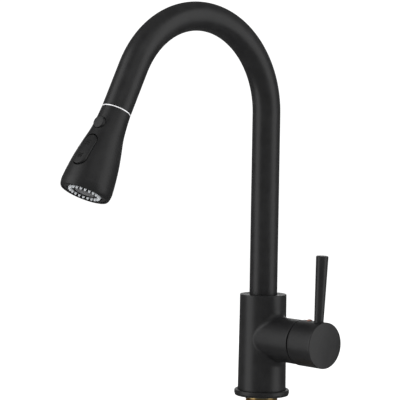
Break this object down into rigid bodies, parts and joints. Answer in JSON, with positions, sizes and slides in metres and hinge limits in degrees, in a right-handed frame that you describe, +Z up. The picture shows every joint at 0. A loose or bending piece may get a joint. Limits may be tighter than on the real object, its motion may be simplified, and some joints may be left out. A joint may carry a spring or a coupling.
{
  "type": "pull-down kitchen faucet",
  "caption": "Matte black gooseneck kitchen faucet with side lever, swivelling spout and pull-down spray head.",
  "frame": {"origin": "centre of the base on the sink deck's top surface, where the faucet is clamped", "axes": "+Z up along the spout's riser, spout reaches out along -Y, handle branch stands out along +X"},
  "size_m": [0.1167, 0.2848, 0.4695],
  "materials": {
    "matte_black_metal": "matte black coating",
    "black_plastic": "matte black",
    "grey_plastic": "satin",
    "white_plastic": "satin",
    "black_rubber": "matt",
    "steel": "brushed",
    "brass": "machined",
    "ceramic": "polished",
    "bright_ring": "satin bright",
    "clear_silicone": "clear grey",
    "red_blue": "red and blue halves",
    "hose_braid": "braided nylon"
  },
  "bodies": {
    "base": {"deck_gasket": "black_rubber", "base_flange": "matte_black_metal", "faucet_body": "matte_black_metal", "mounting_shank": "brass", "clamp_gasket": "black_rubber", "clamp_washer": "steel", "mounting_nut": "brass", "valve_manifold": "brass", "inlet_hot": "brass", "inlet_cold": "brass", "hose_outlet": "brass", "cartridge_seal": "black_rubber", "cartridge_housing": "white_plastic", "fixed_disc": "ceramic", "bonnet_nut": "brass", "spout_bush_lower": "grey_plastic", "spout_bush_upper": "black_plastic", "spout_seal_ring": "black_rubber", "spout_set_screw": "steel"},
    "turntable": {"cartridge_turntable": "white_plastic", "stem_pivot_pin": "steel"},
    "disc_slider": {"moving_disc": "ceramic", "disc_carrier": "white_plastic"},
    "handle": {"valve_stem": "brass", "handle_hub": "matte_black_metal", "handle_lever": "matte_black_metal", "handle_set_screw": "steel", "temperature_dot": "red_blue"},
    "spout": {"spout_tube": "matte_black_metal", "docking_collar": "grey_plastic", "seam_ring": "bright_ring", "spray_hose": "hose_braid"},
    "spray_head": {"dock_spigot": "grey_plastic", "hose_connector": "brass", "check_valve": "white_plastic", "head_shell": "black_plastic", "head_waterway": "grey_plastic", "rocker_pin": "steel", "pause_spring": "steel", "spray_face": "black_plastic", "nozzle_ring": "clear_silicone", "aerator_housing": "grey_plastic", "aerator_mesh": "black_plastic", "face_seal_ring": "black_rubber"},
    "rocker": {"rocker_button": "black_plastic"},
    "diverter": {"diverter_spool": "white_plastic"},
    "pause": {"pause_button": "black_plastic"}
  },
  "joints": [
    {"name": "spout_swivel", "type": "hinge", "parent": "base", "child": "spout", "pos_m": [0, 0, 0.0945], "axis": [0, 0, 1], "continuous": true},
    {"name": "handle_temperature", "type": "hinge", "parent": "base", "child": "turntable", "pos_m": [0.0465, 0, 0.06], "axis": [1, 0, 0], "range_deg": [-50, 50]},
    {"name": "handle_flow", "type": "hinge", "parent": "turntable", "child": "handle", "pos_m": [0.0465, 0, 0.06], "axis": [0, 1, 0], "range_deg": [0, 20]},
    {"name": "disc_slide", "type": "slide", "parent": "turntable", "child": "disc_slider", "axis": [0, 0, 1], "range_m": [0, 0.0027]},
    {"name": "spray_pull", "type": "slide", "parent": "spout", "child": "spray_head", "axis": [0, -0.4329, -0.9015], "range_m": [0, 0.2], "stiffness_N_per_m": 8, "springref_m": -0.45, "deforming": ["spray_hose"]},
    {"name": "spray_rocker", "type": "hinge", "parent": "spray_head", "child": "rocker", "pos_m": [0.00353, -0.23608, 0.25137], "axis": [0.9816, 0.172, -0.0826], "range_deg": [0, 7]},
    {"name": "diverter_slide", "type": "slide", "parent": "spray_head", "child": "diverter", "axis": [0, 0.4329, 0.9015], "range_m": [0, 0.0014]},
    {"name": "pause_press", "type": "slide", "parent": "spray_head", "child": "pause", "axis": [-0.1908, 0.8849, -0.4249], "range_m": [0, 0.002], "stiffness_N_per_m": 800, "springref_m": -0.001, "deforming": ["pause_spring"]}
  ],
  "couplings": [
    {"joint": "disc_slide", "follows": "handle_flow", "m_per_rad": 0.0076},
    {"joint": "diverter_slide", "follows": "spray_rocker", "m_per_rad": 0.0109}
  ]
}
